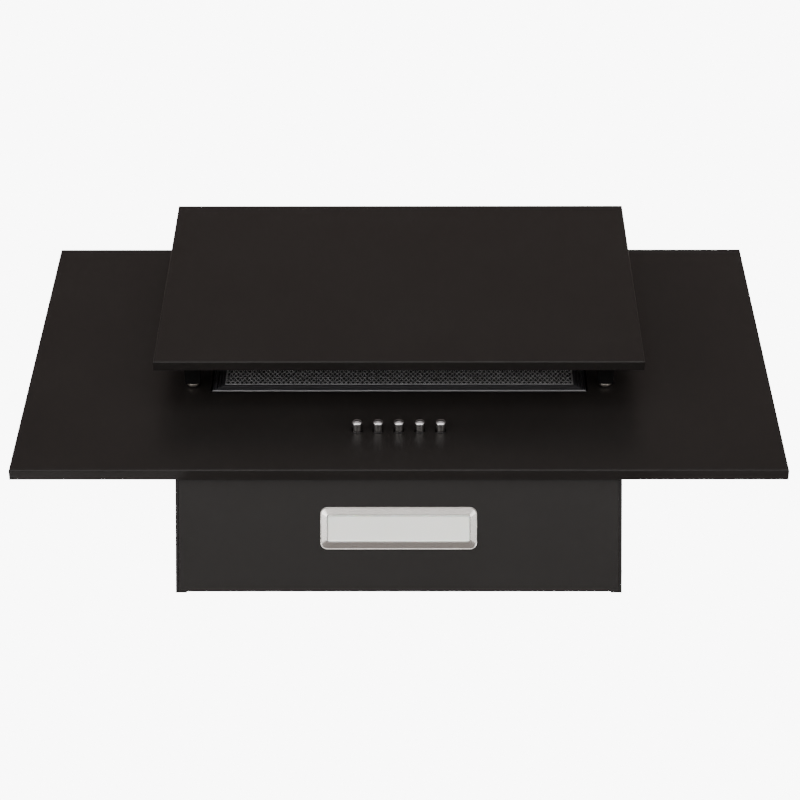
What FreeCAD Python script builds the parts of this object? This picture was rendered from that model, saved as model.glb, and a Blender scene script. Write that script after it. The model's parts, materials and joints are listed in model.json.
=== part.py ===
import FreeCAD
import Part
import math
import os

# Inclined wall-mounted cooker hood, in millimetres.
# Origin: midway between the two hanging slots, on the wall plane.
# +Z is up, +Y points into the wall, -Y is the front, X runs along the wall.

V = FreeCAD.Vector

# ---- driving dimensions -------------------------------------------------
# Sloping front panel. It leans with its top edge forward.
panel_lean = 31.0            # degrees from the vertical
panel_width = 600.0
panel_length = 338.0         # along the slope
panel_rim = 9.0              # folded rim, towards the wall
panel_sheet = 1.0
panel_return = 10.0          # inward fold behind the rim
panel_overhang = 5.1         # below the body's floor, along the slope
fold_radius = 1.2            # outside of every folded front edge

# Body behind the panel.
body_width = 345.0
body_top_inset = 10.8        # body's upper front edge below the panel's upper edge
floor_depth = 90.6           # from the wall to the panel's back, at the floor
body_sheet = 0.8
hem = 2.2                    # doubled lower edge of a side plate
hem_height = 8.0
rear_return = 8.5            # side plate folded over the wall side
hem_gap = 0.2
hang_drop = 27.0             # hanging slots below the body's top
slot_inset = 32.5            # from the body's side
slot_width = 7.0
slot_length = 14.0
slot_pad_width = 36.0
slot_pad_height = 24.0
safety_hole_height = 30.0    # lower wall screws above the floor
safety_hole_radius = 2.5
rivet_radius = 3.0
rivet_head = 1.2
rivet_inset = 14.0

# Flap in front of the filter.
flap_side = 42.0             # flap past the window, each side
flap_over = 2.0              # flap's upper edge past the panel's
flap_start = 87.0            # lower edge, up the slope
flap_height = 43.0           # outer face above the panel's face
flap_rim = 8.0
liner_edge = 5.0
liner_gap = 0.1

# Hinges at the flap's upper edge.
hinge_side = 44.0            # from the flap's side
hinge_inset = 15.0           # pin below the flap's upper edge
hinge_rise = 17.0            # pin above the panel's face
hinge_pin_radius = 2.5
hinge_running_gap = 0.05
hinge_ear = 1.5
hinge_arm_width = 9.0
hinge_side_gap = 0.4
hinge_eye = 6.0              # radius of the metal round the pin
hinge_base_width = 34.0
hinge_base_length = 24.0
hinge_foot = 16.0            # length of the arm's foot on the liner
screw_head_radius = 3.2
screw_head = 1.8

# Catches that hold the flap shut.
catch_offset = 14.5          # beside the window
catch_rise = 10.0            # above the window's lower edge
catch_disc_radius = 5.25
catch_disc_height = 3.6
catch_neck_radius = 3.2
catch_neck_height = 1.2
catch_post_width = 17.0
catch_post_length = 13.0
catch_air = 0.5              # between disc and post when shut

# Filter and its window.
window_side = 20.5           # from the body's side
window_start = 110.0
window_top = 40.0            # below the flap's upper edge
filter_gap = 1.0
filter_sink = 0.3            # frame's face below the panel's face
filter_depth = 10.7
filter_band = 10.0           # width of the frame's lip
filter_lip = 0.8
mesh_overlap = 6.0           # mesh held under the lip
mesh_sheet = 0.8
layer_sheet = 0.3
layer_count = 4
layer_pitch = 1.6
hook_width = 20.0
hook_reach = 5.0
hook_sheet = 1.0
hook_bead = 1.0              # radius of the rolled end that the filter tilts on
hook_spacing = 200.0
guide_sheet = 1.0
guide_ledge = 6.0
guide_flange = 12.0
guide_gap = 0.2
ledge_gap = 1.0
clip_width = 14.0
clip_sheet = 0.8
clip_spacing = 200.0
clip_reach = 8.5
pull_width = 46.0
pull_length = 8.0
pull_height = 9.0
pull_web = 2.0

# Push buttons.
button_names = ["off", "low", "medium", "high", "lamp"]
button_station = 54.0
button_pitch = 16.4
button_stem_radius = 3.1
button_bore_gap = 0.3
button_head_rim = 0.85       # head wider than the stem
button_head_start = 6.4
button_head_height = 2.9
button_dome = 1.9            # rounding of the head's upper edge
button_undercut = 0.5
button_travel = 3.5
button_cap_root = 3.0        # chrome part below the panel's face
plunger_length = 16.0
ring_wall = 1.1
ring_height = 0.6
ring_chamfer = 0.3
ring_sleeve_wall = 0.5
switch_side = 9.0            # block past the outer plungers
switch_length = 26.0
switch_depth = 28.0

# Lamp in the floor.
lamp_width = 121.0
lamp_depth = 33.0
lamp_centre = 50.0           # from the wall
lamp_proud = 2.4
lamp_corner = 5.4
lamp_bevel = 1.8
lens_width = 109.6
lens_depth = 20.4
lens_corner = 1.6
lens_sink = 0.8
lens_thick = 2.4
lens_gap = 0.1
lamp_neck_wall = 1.2
lamp_box_height = 24.0
lamp_box_wall = 1.5
led_board_thick = 1.6
led_size = 5.0
led_height = 1.0
led_count = 6
led_pitch = 16.0

# Blower.
fan_axis_depth = 78.0        # from the wall
fan_drop = 112.0             # axis below the body's top
scroll_start = 60.0          # first arc of the scroll
scroll_growth = 7.0          # added to the radius at each quarter turn
scroll_width = 76.0          # inside
scroll_wall = 2.0
scroll_flange = 7.0
scroll_flange_thick = 3.0
inlet_radius = 45.0
inlet_lip = 6.0
inlet_ring_wall = 2.0
impeller_radius = 55.0
impeller_bore = 45.0
impeller_gap = 4.0           # to each side of the scroll
impeller_disc = 1.5
impeller_ring = 3.0
blade_count = 40
blade_thick = 0.8
blade_radius = 9.0
hub_radius = 9.0
hub_length = 22.0
shaft_radius = 4.0
shaft_running_gap = 0.05
motor_radius = 42.0
motor_length = 54.0
motor_hole_gap = 4.0
motor_nose = 2.0             # motor's face inside the bracket
shaft_in_motor = 44.0
bracket_sheet = 2.0
bracket_radius = 57.0
rubber_radius = 5.0
rubber_height = 4.0
rubber_circle = 50.5
rubber_count = 3
capacitor_radius = 14.0
capacitor_length = 52.0
capacitor_inset = 44.5       # from the body's side
capacitor_height = 95.0      # above the floor
clip_wall = 1.2
clip_length = 16.0

# Outlet.
outlet_depth = 115.0         # from the wall
outlet_outer = 59.5
outlet_wall = 2.0
outlet_length = 40.0
outlet_margin = 11.5         # plate past the collar
outlet_plate_thick = 2.0
outlet_screw_inset = 10.0
damper_rise = 12.0           # pin above the plate
damper_gap = 0.8
damper_thick = 1.2
damper_pin_radius = 1.2
damper_running_gap = 0.08
damper_eye = 2.6
damper_root = 4.0            # plate starts this far from the pin
damper_knuckle = 18.0
damper_ledge = 2.4
damper_ledge_thick = 1.2
damper_rest_gap = 0.2

# Electrics.
terminal_size = (76.0, 30.0, 54.0)
terminal_inset = 50.5        # from the body's side
terminal_height = 96.0       # above the floor
gland_inset = 44.5           # from the body's side
gland_depth = 48.0           # from the wall
gland_bore = 3.6
gland_neck = 6.0
gland_hex = 9.0              # half the width across the flats
gland_hex_height = 5.0
gland_dome = 8.0
gland_thread = 9.0
gland_nut = 3.0
driver_size = (62.0, 34.0, 20.0)
driver_inset = 50.5          # from the body's side
driver_depth = 46.0          # from the wall

# ---- places worked out from the driving dimensions ----------------------
lean = math.radians(panel_lean)
up_slope = V(0, -math.sin(lean), math.cos(lean))
outward = V(0, -math.cos(lean), -math.sin(lean))
half_body = body_width / 2
frame_front = -panel_sheet
frame_back = frame_front - body_sheet
panel_shift = outward * panel_rim - up_slope * panel_overhang
body_height = (panel_shift + up_slope * (panel_length - body_top_inset) + outward * frame_front).z
top_z = hang_drop
floor_z = top_z - body_height
panel_origin = V(0, -floor_depth, floor_z) + panel_shift
slot_spacing = body_width - 2 * slot_inset
window_width = body_width - 2 * window_side
flap_width = window_width + 2 * flap_side
flap_end = panel_length + flap_over
flap_length = flap_end - flap_start
window_end = flap_end - window_top
window_length = window_end - window_start
hinge_spacing = flap_width - 2 * hinge_side
hinge_station = flap_end - hinge_inset
catch_spacing = window_width + 2 * catch_offset
catch_station = window_start + catch_rise
button_bore = button_stem_radius + button_bore_gap
button_head_radius = button_stem_radius + button_head_rim
ring_radius = button_bore + ring_wall
ring_sleeve_radius = button_bore + ring_sleeve_wall
switch_width = (len(button_names) - 1) * button_pitch + 2 * (button_bore + switch_side)
outlet_plate = 2 * (outlet_outer + outlet_margin)
flap_back = flap_height - flap_rim
filter_front = -filter_sink
filter_back = filter_front - filter_depth
fan_y = -fan_axis_depth
fan_z = top_z - fan_drop
scroll_half = scroll_width / 2
scroll_outer = scroll_half + scroll_wall
outlet_y = -outlet_depth

panel_place = FreeCAD.Placement(panel_origin, FreeCAD.Rotation(V(1, 0, 0), 90 + panel_lean))
pieces = {}


# ---- helpers ------------------------------------------------------------
def box(low, high):
    """Box between two opposite corners."""
    size = V(*high) - V(*low)
    return Part.makeBox(size.x, size.y, size.z, V(*low))


def cylinder(radius, length, start, direction):
    return Part.makeCylinder(radius, length, V(*start), V(*direction))


def on_panel(shape):
    """Moves a shape from the panel's own axes (across, up the slope, outward) into the hood."""
    return shape.transformed(panel_place.toMatrix(), copy=True)


def keep(name, *shapes):
    """Names a piece. Several shapes under one name stay separate solids."""
    pieces[name] = shapes[0] if len(shapes) == 1 else Part.makeCompound(list(shapes))


def join(shapes):
    return shapes[0].multiFuse(shapes[1:]).removeSplitter()


def mirrored(shape):
    """The same piece on the other side of the hood's middle plane."""
    return shape.mirror(V(0, 0, 0), V(1, 0, 0))


def prism_across(points, x_low, x_high):
    """Outline in Y and Z, drawn across the hood from x_low to x_high."""
    corners = [V(x_low, y, z) for y, z in points]
    face = Part.Face(Part.makePolygon(corners + corners[:1]))
    return face.extrude(V(x_high - x_low, 0, 0))


def slope_y(z, height):
    """Depth of the plane lying at a given height over the panel's face, at level z."""
    station = (z - panel_origin.z - height * outward.z) / up_slope.z
    return panel_origin.y + station * up_slope.y + height * outward.y


def rounded_slab(width, depth, corner, z_low, z_high, centre_y):
    """Flat slab with four rounded corners."""
    slab = box((-width / 2, centre_y - depth / 2, z_low), (width / 2, centre_y + depth / 2, z_high))
    upright = [e for e in slab.Edges if abs(e.Vertexes[0].Z - e.Vertexes[1].Z) > (z_high - z_low) / 2]
    return slab.makeFillet(corner, upright)


def front_edges(shape, level):
    """Edges that lie in the plane of a tray's face."""
    return [e for e in shape.Edges if all(abs(v.Z - level) < 1e-6 for v in e.Vertexes)]


def tray(width, start, length, face, rim, sheet):
    """Folded steel tray in the panel's axes: a face with a rim turned back all round."""
    half = width / 2
    solid = box((-half, start, face - rim), (half, start + length, face))
    solid = solid.makeFillet(fold_radius, front_edges(solid, face))
    inside = box((-half + sheet, start + sheet, face - rim), (half - sheet, start + length - sheet, face - sheet))
    return solid.cut(inside)


def screw_head_on(foot, direction):
    """Rounded screw head standing on a surface."""
    head = cylinder(screw_head_radius, screw_head, foot, direction)
    return head.makeFillet(screw_head * 0.6, [head.Edges[0]])


# ---- body ---------------------------------------------------------------
def body_outline(z_low, z_high, rear, front):
    """Side view of the body between two levels, from the rear plane to the sloping front."""
    return [(rear, z_low), (slope_y(z_low, front), z_low), (slope_y(z_high, front), z_high), (rear, z_high)]


def make_side_plate():
    plate = prism_across(body_outline(floor_z, top_z, 0, frame_front), half_body - body_sheet, half_body)
    outline = body_outline(floor_z, floor_z + hem_height, -2 * body_sheet, frame_back)
    lower = prism_across(outline, half_body - hem, half_body)
    fold = box((half_body - rear_return, -body_sheet, floor_z), (half_body, 0, top_z))
    return join([plate, lower, fold])


def make_bottom_plate():
    """Floor between the hems, folded up at the wall side, with the lamp's cut-out."""
    half = half_body - hem - hem_gap
    plate = prism_across(body_outline(floor_z, floor_z + body_sheet, -body_sheet, frame_back), -half, half)
    fold = box((-half, -3 * body_sheet, floor_z), (half, -2 * body_sheet, floor_z + hem_height + 4))
    rear = box((-half, -2 * body_sheet, floor_z), (half, -body_sheet, floor_z + body_sheet))
    opening = rounded_slab(lens_width + 2 * lamp_neck_wall, lens_depth + 2 * lamp_neck_wall,
                           lens_corner + lamp_neck_wall, floor_z - 1, floor_z + body_sheet + 1, -lamp_centre)
    return join([plate, fold, rear]).cut(opening)


def make_back_plate():
    """Wall side, with raised pads round the hanging slots and two lower screw holes."""
    half = half_body - body_sheet
    plate = box((-half, -2 * body_sheet, floor_z + body_sheet), (half, -body_sheet, top_z - body_sheet))
    for side in (-1, 1):
        x = side * slot_spacing / 2
        pad = box((x - slot_pad_width / 2, -2 * body_sheet, -slot_pad_height / 2),
                  (x + slot_pad_width / 2, 0, slot_pad_height / 2))
        plate = plate.fuse(pad)
    plate = plate.removeSplitter()
    straight = slot_length - slot_width
    for side in (-1, 1):
        x = side * slot_spacing / 2
        cuts = [box((x - straight / 2, -3, -slot_width / 2), (x + straight / 2, 1, slot_width / 2))]
        for end in (-1, 1):
            cuts.append(cylinder(slot_width / 2, 4, (x + end * straight / 2, -3, 0), (0, 1, 0)))
        cuts.append(cylinder(safety_hole_radius, 4, (x, -3, floor_z + safety_hole_height), (0, 1, 0)))
        for cut in cuts:
            plate = plate.cut(cut)
    return plate


def make_top_plate():
    half = half_body - body_sheet
    plate = prism_across(body_outline(top_z - body_sheet, top_z, -body_sheet, frame_back), -half, half)
    plate = plate.cut(cylinder(outlet_outer - outlet_wall, 4, (0, outlet_y, top_z - 2), (0, 0, 1)))
    return plate.cut(cylinder(gland_neck, 4, (half_body - gland_inset, -gland_depth, top_z - 2), (0, 0, 1)))


def make_front_frame():
    """Sheet behind the panel that closes the body's sloping front."""
    outline = [(slope_y(floor_z, frame_front), floor_z), (slope_y(top_z, frame_front), top_z),
               (slope_y(top_z, frame_back), top_z), (slope_y(floor_z, frame_back), floor_z)]
    half = half_body - body_sheet
    sheet = prism_across(outline, -half, half)
    edge = filter_gap
    window = box((-window_width / 2 - edge, window_start - edge, frame_back - 1),
                 (window_width / 2 + edge, window_end + edge, frame_front + 1))
    sheet = sheet.cut(on_panel(window))
    for x in button_places():
        hole = cylinder(ring_sleeve_radius, 4, (x, button_station, frame_back - 1), (0, 0, 1))
        sheet = sheet.cut(on_panel(hole))
    return sheet


def make_rivets():
    """Domed rivets that hold each side plate to the floor, back and top."""
    heads = []
    levels = [floor_z + rivet_inset, (floor_z + top_z) / 2, top_z - rivet_inset]
    for side in (-1, 1):
        for level in levels:
            head = cylinder(rivet_radius, rivet_head, (side * half_body, -rivet_inset, level), (side, 0, 0))
            heads.append(head.makeFillet(rivet_head * 0.7, [head.Edges[0]]))
    return heads


# ---- panel --------------------------------------------------------------
def button_places():
    middle = (len(button_names) - 1) / 2
    return [(i - middle) * button_pitch for i in range(len(button_names))]


def make_main_panel():
    solid = tray(panel_width, 0, panel_length, 0, panel_rim, panel_sheet)
    half = panel_width / 2
    low = -panel_rim
    high = low + panel_sheet
    for side in (-1, 1):
        outer = side * half
        inner = side * (half - panel_return)
        fold = box((min(outer, inner), panel_sheet, low), (max(outer, inner), panel_length - panel_sheet, high))
        solid = solid.fuse(fold)
    solid = solid.removeSplitter()
    window = box((-window_width / 2, window_start, -panel_sheet - 1), (window_width / 2, window_end, 1))
    solid = solid.cut(window)
    for x in button_places():
        solid = solid.cut(cylinder(ring_sleeve_radius, 4, (x, button_station, -3), (0, 0, 1)))
    return on_panel(solid)


def make_catch_disc(side):
    """Steel disc on a short neck, riveted to the panel."""
    x = side * catch_spacing / 2
    neck = cylinder(catch_neck_radius, catch_neck_height, (x, catch_station, 0), (0, 0, 1))
    disc = cylinder(catch_disc_radius, catch_disc_height - catch_neck_height,
                    (x, catch_station, catch_neck_height), (0, 0, 1))
    rims = [e for e in disc.Edges if len(e.Vertexes) == 1]
    disc = disc.makeChamfer(0.5, rims)
    return on_panel(disc.fuse(neck))


# ---- flap ---------------------------------------------------------------
def make_flap_panel():
    return on_panel(tray(flap_width, flap_start, flap_length, flap_height, flap_rim, panel_sheet))


def make_flap_liner():
    """Inner sheet that closes the flap's back, its edges folded into the tray."""
    inset = panel_sheet + liner_gap
    half = flap_width / 2 - inset
    start = flap_start + inset
    end = flap_end - inset
    solid = box((-half, start, flap_back), (half, end, flap_back + liner_edge))
    hollow = box((-half + body_sheet, start + body_sheet, flap_back + body_sheet),
                 (half - body_sheet, end - body_sheet, flap_back + liner_edge))
    return on_panel(solid.cut(hollow))


def make_hinge_base(side):
    """Foot on the panel with two ears that hold the pin."""
    x = side * hinge_spacing / 2
    half = hinge_base_width / 2
    foot = box((x - half, hinge_station - hinge_base_length / 2, 0),
               (x + half, hinge_station + hinge_base_length / 2, hinge_ear))
    parts = [foot]
    inner = hinge_arm_width / 2 + hinge_side_gap
    for hand in (-1, 1):
        low = x + hand * inner
        high = low + hand * hinge_ear
        ear = box((min(low, high), hinge_station - hinge_eye, 0),
                  (max(low, high), hinge_station + hinge_eye, hinge_rise))
        eye = cylinder(hinge_eye, hinge_ear, (min(low, high), hinge_station, hinge_rise), (1, 0, 0))
        parts += [ear, eye]
    solid = join(parts)
    return on_panel(solid.cut(cylinder(hinge_pin_radius, hinge_base_width, (x - half, hinge_station, hinge_rise),
                                       (1, 0, 0))))


def make_hinge_arm(side):
    """Eye on the pin, joined to a foot on the flap's liner."""
    x = side * hinge_spacing / 2
    half = hinge_arm_width / 2
    eye = cylinder(hinge_eye, hinge_arm_width, (x - half, hinge_station, hinge_rise), (1, 0, 0))
    web = box((x - half, hinge_station - hinge_eye, hinge_rise), (x + half, hinge_station + hinge_eye, flap_back))
    foot = box((x - hinge_base_width / 2, hinge_station - hinge_foot, flap_back - hinge_ear),
               (x + hinge_base_width / 2, hinge_station + hinge_eye, flap_back))
    solid = join([eye, web, foot])
    bore = cylinder(hinge_pin_radius + hinge_running_gap, hinge_arm_width, (x - half, hinge_station, hinge_rise),
                    (1, 0, 0))
    return on_panel(solid.cut(bore))


def make_hinge_pin(side):
    x = side * hinge_spacing / 2
    reach = hinge_arm_width / 2 + hinge_side_gap + hinge_ear
    return on_panel(cylinder(hinge_pin_radius, 2 * reach, (x - reach, hinge_station, hinge_rise), (1, 0, 0)))


def make_hinge_screws():
    """Two screw heads in each hinge foot."""
    screws = []
    for side in (-1, 1):
        for hand in (-1, 1):
            x = side * hinge_spacing / 2 + hand * (hinge_base_width / 2 - screw_head_radius - 1)
            screws.append(on_panel(screw_head_on((x, hinge_station, hinge_ear), (0, 0, 1))))
    return screws


def make_catch_post(side):
    """Plastic post on the liner that meets the steel disc."""
    x = side * catch_spacing / 2
    half = catch_post_width / 2
    low = catch_disc_height + catch_air
    post = box((x - half, catch_station - catch_post_length / 2, low),
               (x + half, catch_station + catch_post_length / 2, flap_back))
    upright = [e for e in post.Edges if abs(e.Vertexes[0].Z - e.Vertexes[1].Z) > 1]
    return on_panel(post.makeFillet(1.5, upright))


# ---- filter -------------------------------------------------------------
def filter_box(margin, low, high):
    """Block inside the filter's outline, in the panel's axes."""
    half = window_width / 2 - filter_gap - margin
    return box((-half, window_start + filter_gap + margin, low), (half, window_end - filter_gap - margin, high))


def make_filter_frame():
    """Channel frame, open towards the mesh, with two rolled hook tabs at its lower edge."""
    solid = filter_box(0, filter_back, filter_front)
    solid = solid.cut(filter_box(filter_band, filter_back - 1, filter_front + 1))
    solid = solid.cut(filter_box(filter_lip, filter_back + filter_lip, filter_front - filter_lip))
    edge = window_start + filter_gap
    level = frame_back - 2 * hook_sheet
    bead_station = edge - hook_reach + hook_bead
    for side in (-1, 1):
        x = side * hook_spacing / 2 - hook_width / 2
        tab = box((x, bead_station, level - hook_sheet), (x + hook_width, edge + filter_lip, level))
        bead = cylinder(hook_bead, hook_width, (x, bead_station, level - hook_sheet / 2), (1, 0, 0))
        solid = solid.fuse(join([tab, bead]))
    return on_panel(solid.removeSplitter())


def mesh_sheet_at(high, thickness):
    return on_panel(filter_box(filter_band - mesh_overlap, high - thickness, high))


def make_filter_layers():
    first = filter_front - filter_lip - mesh_sheet - layer_pitch / 2
    return [mesh_sheet_at(first - i * layer_pitch, layer_sheet) for i in range(layer_count)]


def make_filter_pull():
    """Finger grip on the frame's upper band."""
    end = window_end - filter_gap - 1
    start = end - pull_length
    base = box((-pull_width / 2, start, filter_front), (pull_width / 2, end, filter_front + pull_web))
    rib = box((-pull_width / 2, start, filter_front), (pull_width / 2, start + pull_web, filter_front + pull_height))
    return on_panel(join([base, rib]))


def make_filter_guide(side):
    """Bent strip beside the filter, with a ledge behind it."""
    web = window_width / 2 + guide_gap
    back = filter_back - ledge_gap
    start = window_start - 4
    end = window_end + 3
    flange = box((web, start, frame_back - guide_sheet), (web + guide_flange, end, frame_back))
    wall = box((web, start, back - guide_sheet), (web + guide_sheet, end, frame_back))
    ledge = box((web - guide_ledge, start, back - guide_sheet), (web + guide_sheet, end, back))
    solid = on_panel(join([flange, wall, ledge]))
    return solid if side > 0 else mirrored(solid)


def make_filter_clips():
    """Two leaf clips over the window that grip the filter's upper edge."""
    clips = []
    edge = window_end + filter_gap
    for side in (-1, 1):
        x = side * clip_spacing / 2
        half = clip_width / 2
        base = box((x - half, edge, frame_back - clip_sheet), (x + half, edge + 12, frame_back))
        leg = box((x - half, edge, frame_back - clip_reach), (x + half, edge + clip_sheet, frame_back))
        clips.append(on_panel(join([base, leg])))
    return clips


# ---- buttons ------------------------------------------------------------
def make_button_cap(x):
    """Chrome stem with a domed head."""
    stem = cylinder(button_stem_radius, button_cap_root + button_head_start, (x, button_station, -button_cap_root),
                    (0, 0, 1))
    head = cylinder(button_head_radius, button_head_height, (x, button_station, button_head_start), (0, 0, 1))
    head = head.makeFillet(button_dome, front_edges(head, button_head_start + button_head_height))
    head = head.makeChamfer(button_undercut, front_edges(head, button_head_start))
    return on_panel(join([stem, head]))


def make_plunger(x):
    start = -button_cap_root - plunger_length
    return on_panel(cylinder(button_stem_radius, plunger_length, (x, button_station, start), (0, 0, 1)))


def make_button_ring(x):
    rim = cylinder(ring_radius, ring_height, (x, button_station, 0), (0, 0, 1))
    rim = rim.makeChamfer(ring_chamfer, front_edges(rim, ring_height))
    sleeve = cylinder(ring_sleeve_radius, -frame_back, (x, button_station, frame_back), (0, 0, 1))
    solid = join([rim, sleeve])
    return on_panel(solid.cut(cylinder(button_bore, 8, (x, button_station, frame_back - 1), (0, 0, 1))))


def make_switch_block():
    """Plastic switch block behind the buttons, one bore for each plunger."""
    solid = box((-switch_width / 2, button_station - switch_length / 2, frame_back - switch_depth),
                (switch_width / 2, button_station + switch_length / 2, frame_back))
    depth = button_cap_root + plunger_length + button_travel + 2 + frame_back
    for x in button_places():
        solid = solid.cut(cylinder(button_bore, depth, (x, button_station, frame_back - depth), (0, 0, 1)))
    return on_panel(solid)


# ---- lamp ---------------------------------------------------------------
def make_lamp_bezel():
    """Chrome frame with a bevelled edge and a neck that goes through the floor."""
    low = floor_z - lamp_proud
    plate = rounded_slab(lamp_width, lamp_depth, lamp_corner, low, floor_z, -lamp_centre)
    rim = [e for e in plate.Edges if all(abs(v.Z - low) < 1e-6 for v in e.Vertexes)]
    plate = plate.makeChamfer(lamp_bevel, rim)
    neck_width = lens_width + 2 * lamp_neck_wall
    neck_depth = lens_depth + 2 * lamp_neck_wall
    neck = rounded_slab(neck_width, neck_depth, lens_corner + lamp_neck_wall, floor_z, floor_z + body_sheet,
                        -lamp_centre)
    hole = rounded_slab(lens_width, lens_depth, lens_corner, low - 1, floor_z + body_sheet + 1, -lamp_centre)
    return join([plate, neck]).cut(hole)


def make_lamp_lens():
    gap = 2 * lens_gap
    low = floor_z - lamp_proud + lens_sink
    return rounded_slab(lens_width - gap, lens_depth - gap, lens_corner, low, low + lens_thick, -lamp_centre)


def make_lamp_box():
    """White box over the lamp, open downwards."""
    width = lens_width + 2 * lamp_neck_wall + 6
    depth = lens_depth + 2 * lamp_neck_wall + 6
    low = floor_z + body_sheet
    outer = rounded_slab(width, depth, 3, low, low + lamp_box_height, -lamp_centre)
    wall = 2 * lamp_box_wall
    inner = rounded_slab(width - wall, depth - wall, 3 - lamp_box_wall, low - 1,
                         low + lamp_box_height - lamp_box_wall, -lamp_centre)
    return outer.cut(inner)


def make_led_board():
    """Board under the lamp box's roof, with a row of light-emitting chips."""
    high = floor_z + body_sheet + lamp_box_height - lamp_box_wall
    low = high - led_board_thick
    board = box((-lens_width / 2 + 2, -lamp_centre - lens_depth / 2, low),
                (lens_width / 2 - 2, -lamp_centre + lens_depth / 2, high))
    parts = [board]
    for i in range(led_count):
        x = (i - (led_count - 1) / 2) * led_pitch
        parts.append(box((x - led_size / 2, -lamp_centre - led_size / 2, low - led_height),
                         (x + led_size / 2, -lamp_centre + led_size / 2, low)))
    return join(parts)


# ---- blower -------------------------------------------------------------
def scroll_face(wall, x, top):
    """Side view of the scroll: three quarter arcs of growing radius, then straight up to the outlet."""
    corner = scroll_growth / 2
    centres = [(fan_y + corner, fan_z - corner), (fan_y - corner, fan_z - corner), (fan_y - corner, fan_z + corner)]
    tongue = math.degrees(math.acos(wall / (scroll_start + wall)))
    spans = [(tongue, 0), (0, -90), (-90, -180)]
    arcs = []
    for i, (centre, span) in enumerate(zip(centres, spans)):
        radius = scroll_start + i * scroll_growth + wall
        points = []
        for degrees in (span[0], (span[0] + span[1]) / 2, span[1]):
            angle = math.radians(degrees)
            points.append(V(x, centre[0] + radius * math.cos(angle), centre[1] + radius * math.sin(angle)))
        arcs.append(Part.Arc(*points).toShape())
    start = arcs[0].Vertexes[0].Point
    end = arcs[2].Vertexes[-1].Point
    rising = Part.makePolygon([end, V(x, end.y, top), V(x, start.y, top), start])
    return Part.Face(Part.Wire(arcs + rising.Edges))


def make_scroll_shell():
    """Both halves together, closed but for the inlet, the motor's hole and the outlet."""
    top = top_z - body_sheet
    outer = scroll_face(scroll_wall, -scroll_outer, top).extrude(V(2 * scroll_outer, 0, 0))
    inner = scroll_face(0, -scroll_half, top).extrude(V(scroll_width, 0, 0))
    low_y = fan_y - scroll_growth / 2 - scroll_start - 2 * scroll_growth
    high_y = fan_y + scroll_growth / 2
    flange = box((-scroll_outer - scroll_flange, low_y - scroll_wall - scroll_flange, top - scroll_flange_thick),
                 (scroll_outer + scroll_flange, high_y + scroll_wall + scroll_flange, top))
    shell = join([outer, flange]).cut(inner)
    shell = shell.cut(cylinder(inlet_radius, 10, (scroll_half - 2, fan_y, fan_z), (1, 0, 0)))
    return shell.cut(cylinder(motor_radius + motor_hole_gap, 10, (-scroll_outer - 2, fan_y, fan_z), (1, 0, 0)))


def half_space(side):
    reach = 400
    if side > 0:
        return box((0, -reach, -reach), (reach, reach, reach))
    return box((-reach, -reach, -reach), (0, reach, reach))


def make_inlet_ring():
    """Rounded bellmouth in the scroll's inlet."""
    lip = inlet_lip
    wall = inlet_ring_wall
    start = scroll_outer
    throat = inlet_radius - wall
    profile = Part.Wire([
        Part.makeLine(V(start - scroll_wall, throat, 0), V(start, throat, 0)),
        Part.Arc(V(start, throat, 0), V(start + lip * 0.7071, throat + lip * 0.2929, 0),
                 V(start + lip, throat + lip, 0)).toShape(),
        Part.makeLine(V(start + lip, throat + lip, 0), V(start + lip, throat + lip + wall, 0)),
        Part.makeLine(V(start + lip, throat + lip + wall, 0), V(start, throat + lip + wall, 0)),
        Part.makeLine(V(start, throat + lip + wall, 0), V(start, inlet_radius, 0)),
        Part.makeLine(V(start, inlet_radius, 0), V(start - scroll_wall, inlet_radius, 0)),
        Part.makeLine(V(start - scroll_wall, inlet_radius, 0), V(start - scroll_wall, throat, 0)),
    ])
    ring = Part.Face(profile).revolve(V(0, 0, 0), V(1, 0, 0), 360)
    return ring.translated(V(0, fan_y, fan_z))


def make_impeller():
    """Drum of forward-curved blades between a disc and a ring."""
    low = -scroll_half + impeller_gap
    high = scroll_half - impeller_gap
    disc = cylinder(impeller_radius, impeller_disc, (low, 0, 0), (1, 0, 0))
    hub = cylinder(hub_radius, hub_length, (low, 0, 0), (1, 0, 0))
    ring = cylinder(impeller_radius, impeller_ring, (high - impeller_ring, 0, 0), (1, 0, 0))
    ring = ring.cut(cylinder(impeller_radius - 3, impeller_ring, (high - impeller_ring, 0, 0), (1, 0, 0)))
    centre = (impeller_radius + impeller_bore) / 2
    bend = Part.makeCylinder(blade_radius, high - low, V(low, centre, blade_radius - 1.5), V(1, 0, 0))
    bend = bend.cut(Part.makeCylinder(blade_radius - blade_thick, high - low, V(low, centre, blade_radius - 1.5),
                                      V(1, 0, 0)))
    band = box((low, impeller_bore, -blade_radius), (high, impeller_radius - 0.5, blade_radius / 2))
    blade = bend.common(band)
    blades = []
    for i in range(blade_count):
        blades.append(blade.rotated(V(0, 0, 0), V(1, 0, 0), i * 360.0 / blade_count))
    drum = disc.multiFuse([hub, ring] + blades)
    drum = drum.cut(cylinder(shaft_radius, hub_length + 2, (low - 1, 0, 0), (1, 0, 0)))
    return drum.translated(V(0, fan_y, fan_z))


def make_shaft():
    start = -scroll_outer - motor_nose - shaft_in_motor
    end = -scroll_half + impeller_gap + hub_length
    return cylinder(shaft_radius, end - start, (start, fan_y, fan_z), (1, 0, 0))


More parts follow.
